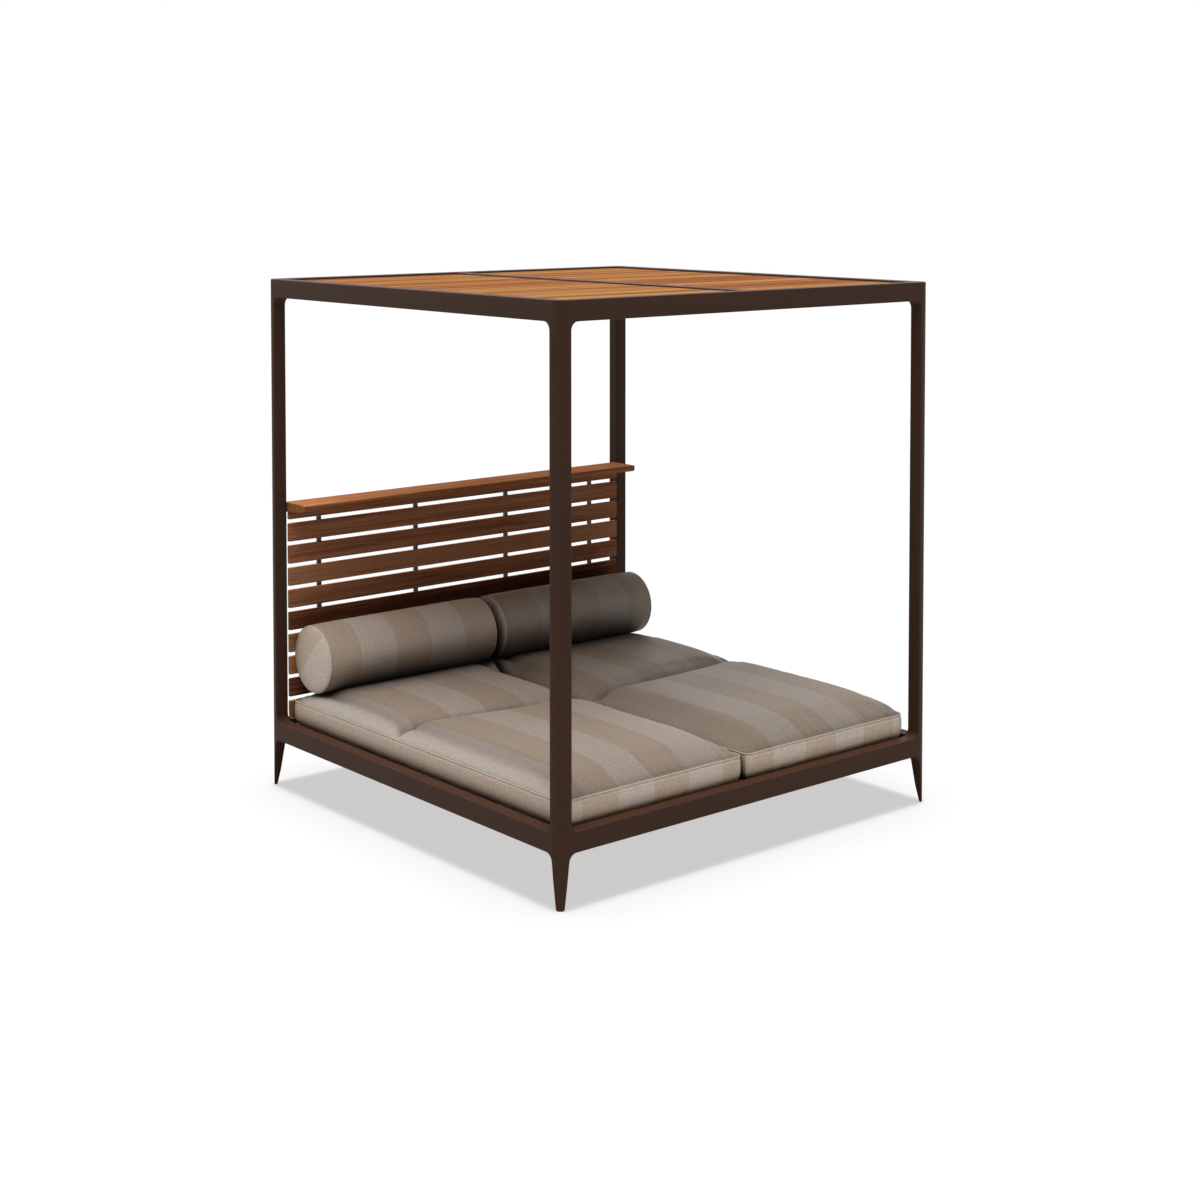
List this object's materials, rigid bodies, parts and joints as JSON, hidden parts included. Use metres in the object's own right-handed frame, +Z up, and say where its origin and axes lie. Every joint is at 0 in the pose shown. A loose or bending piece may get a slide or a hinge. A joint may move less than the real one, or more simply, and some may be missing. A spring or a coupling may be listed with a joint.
{
  "type": "outdoor daybed with canopy",
  "caption": "Square outdoor daybed: aluminium post frame with tapered legs, slatted wood roof, slatted headboard with a shelf cap, mattresses and round bolsters.",
  "frame": {"origin": "middle of the footprint, on the floor", "axes": "+Z up, +Y towards the headboard, +X to the right of someone who faces the headboard"},
  "size_m": [1.995, 2.004, 2.2],
  "materials": {
    "frame_coating": "fine-textured satin powder coat, dark bronze",
    "roof_wood": "oiled teak slats",
    "deck_wood": "plain sawn teak slats",
    "headboard_wood": "oiled teak with eased edges",
    "upright_coating": "black satin powder coat",
    "glide_nylon": "moulded black nylon",
    "mattress_fabric": "woven outdoor fabric in wide taupe and light grey stripes",
    "bolster_fabric": "woven outdoor fabric in wide taupe and light grey stripes"
  },
  "bodies": {
    "frame": {"lower_corner_front_left": "frame_coating", "lower_corner_front_right": "frame_coating", "lower_corner_back_right": "frame_coating", "lower_corner_back_left": "frame_coating", "post_front_left": "frame_coating", "post_front_right": "frame_coating", "post_back_right": "frame_coating", "post_back_left": "frame_coating", "upper_corner_front_left": "frame_coating", "upper_corner_front_right": "frame_coating", "upper_corner_back_right": "frame_coating", "upper_corner_back_left": "frame_coating", "lower_rail_front": "frame_coating", "lower_rail_right": "frame_coating", "lower_rail_back": "frame_coating", "lower_rail_left": "frame_coating", "upper_rail_front": "frame_coating", "upper_rail_right": "frame_coating", "upper_rail_back": "frame_coating", "upper_rail_left": "frame_coating", "roof_beam": "frame_coating", "deck_beam": "frame_coating", "roof_panel_left": "roof_wood", "roof_panel_right": "roof_wood", "deck_panel_left": "deck_wood", "deck_panel_right": "deck_wood", "headboard_plank_01": "headboard_wood", "headboard_plank_02": "headboard_wood", "headboard_plank_03": "headboard_wood", "headboard_plank_04": "headboard_wood", "headboard_plank_05": "headboard_wood", "headboard_plank_06": "headboard_wood", "headboard_plank_07": "headboard_wood", "headboard_plank_08": "headboard_wood", "headboard_plank_09": "headboard_wood", "headboard_plank_10": "headboard_wood", "headboard_cap": "headboard_wood", "headboard_upright_1": "upright_coating", "headboard_upright_2": "upright_coating", "headboard_upright_3": "upright_coating", "headboard_upright_4": "upright_coating", "glide_front_left": "glide_nylon", "glide_front_right": "glide_nylon", "glide_back_right": "glide_nylon", "glide_back_left": "glide_nylon"},
    "mattress_left": {"mattress_left": "mattress_fabric"},
    "mattress_right": {"mattress_right": "mattress_fabric"},
    "bolster_left": {"bolster_left": "bolster_fabric"},
    "bolster_right": {"bolster_right": "bolster_fabric"}
  },
  "joints": [
    {"name": "mattress_left_lift", "type": "slide", "parent": "frame", "child": "mattress_left", "axis": [0, 0, 1], "range_m": [0, 0.3]},
    {"name": "mattress_right_lift", "type": "slide", "parent": "frame", "child": "mattress_right", "axis": [0, 0, 1], "range_m": [0, 0.3]},
    {"name": "bolster_left_lift", "type": "slide", "parent": "mattress_left", "child": "bolster_left", "axis": [0, -0.6, 0.8], "range_m": [0, 0.25]},
    {"name": "bolster_right_lift", "type": "slide", "parent": "mattress_right", "child": "bolster_right", "axis": [0, -0.6, 0.8], "range_m": [0, 0.25]}
  ]
}
